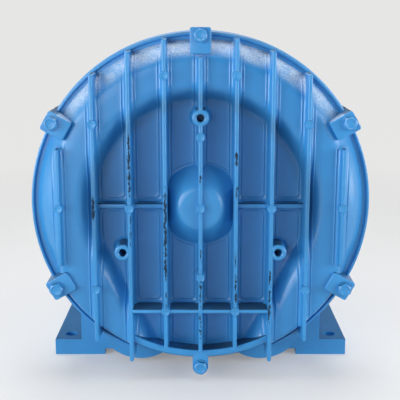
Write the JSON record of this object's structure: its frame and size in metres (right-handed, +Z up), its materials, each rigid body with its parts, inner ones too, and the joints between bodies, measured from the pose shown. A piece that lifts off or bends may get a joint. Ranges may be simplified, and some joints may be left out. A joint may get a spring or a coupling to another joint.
{
  "type": "side-channel blower",
  "caption": "Motor-driven regenerative side-channel blower with a round ribbed front cover, bladed impeller, muffler tubes, rear ports and cast feet.",
  "frame": {"origin": "centre of the four foot holes, on the plane the feet stand on", "axes": "+Z up, +Y back along the shaft from the ribbed cover to the motor's fan, +X to the right when facing the cover"},
  "size_m": [0.309, 0.3708, 0.319],
  "materials": {
    "blue_enamel": "gloss",
    "cowl_paint": "gloss",
    "box_paint": "gloss",
    "gasket_rubber": "matte",
    "muffler_foam": "matte",
    "zinc_steel": "satin",
    "bearing_steel": "polished",
    "copper_winding": "gloss",
    "cast_aluminium": "satin",
    "fan_plastic": "matte",
    "terminal_plastic": "matte",
    "brass_stud": "satin"
  },
  "bodies": {
    "machine": {"front_cover": "blue_enamel", "cover_gasket": "gasket_rubber", "cover_bolts": "blue_enamel", "cover_washers": "blue_enamel", "blower_housing": "blue_enamel", "inlet_muffler_foam": "muffler_foam", "outlet_muffler_foam": "muffler_foam", "inlet_muffler_screen": "zinc_steel", "outlet_muffler_screen": "zinc_steel", "inlet_port_flange": "blue_enamel", "outlet_port_flange": "blue_enamel", "port_gaskets": "gasket_rubber", "port_screws": "zinc_steel", "shaft_seal": "gasket_rubber", "drive_bearing_outer_ring": "bearing_steel", "drive_bearing_shields": "bearing_steel", "bearing_retainer": "zinc_steel", "rear_bearing_outer_ring": "bearing_steel", "rear_bearing_shields": "bearing_steel", "wave_spring": "zinc_steel", "motor_frame": "blue_enamel", "stator_core": "zinc_steel", "stator_windings": "copper_winding", "rear_end_bell": "blue_enamel", "motor_tie_bolts": "zinc_steel", "fan_cowl": "cowl_paint", "fan_cowl_screws": "cowl_paint", "terminal_box": "box_paint", "terminal_lid_gasket": "gasket_rubber", "terminal_lid": "box_paint", "terminal_lid_screws": "zinc_steel", "terminal_block": "terminal_plastic", "terminal_studs": "brass_stud"},
    "rotor": {"rotor_shaft": "bearing_steel", "rotor_core": "zinc_steel", "rotor_end_rings": "cast_aluminium", "impeller": "cast_aluminium", "impeller_key": "zinc_steel", "impeller_washer": "zinc_steel", "impeller_bolt": "zinc_steel", "impeller_spacer": "zinc_steel", "drive_bearing_inner_ring": "bearing_steel", "rear_bearing_inner_ring": "bearing_steel", "cooling_fan": "fan_plastic", "fan_retainer": "zinc_steel"},
    "drive_ball_set": {"drive_bearing_balls": "bearing_steel", "drive_bearing_cage": "bearing_steel"},
    "rear_ball_set": {"rear_bearing_balls": "bearing_steel", "rear_bearing_cage": "bearing_steel"}
  },
  "joints": [
    {"name": "rotor_spin", "type": "hinge", "parent": "machine", "child": "rotor", "pos_m": [0, -0.0982, 0.162], "axis": [0, 1, 0], "continuous": true},
    {"name": "drive_balls_roll", "type": "hinge", "parent": "machine", "child": "drive_ball_set", "pos_m": [0, -0.0667, 0.162], "axis": [0, 1, 0], "continuous": true},
    {"name": "rear_balls_roll", "type": "hinge", "parent": "machine", "child": "rear_ball_set", "pos_m": [0, 0.1318, 0.162], "axis": [0, 1, 0], "continuous": true}
  ],
  "couplings": [
    {"joint": "drive_balls_roll", "follows": "rotor_spin", "ratio": 0.397},
    {"joint": "rear_balls_roll", "follows": "rotor_spin", "ratio": 0.382}
  ]
}
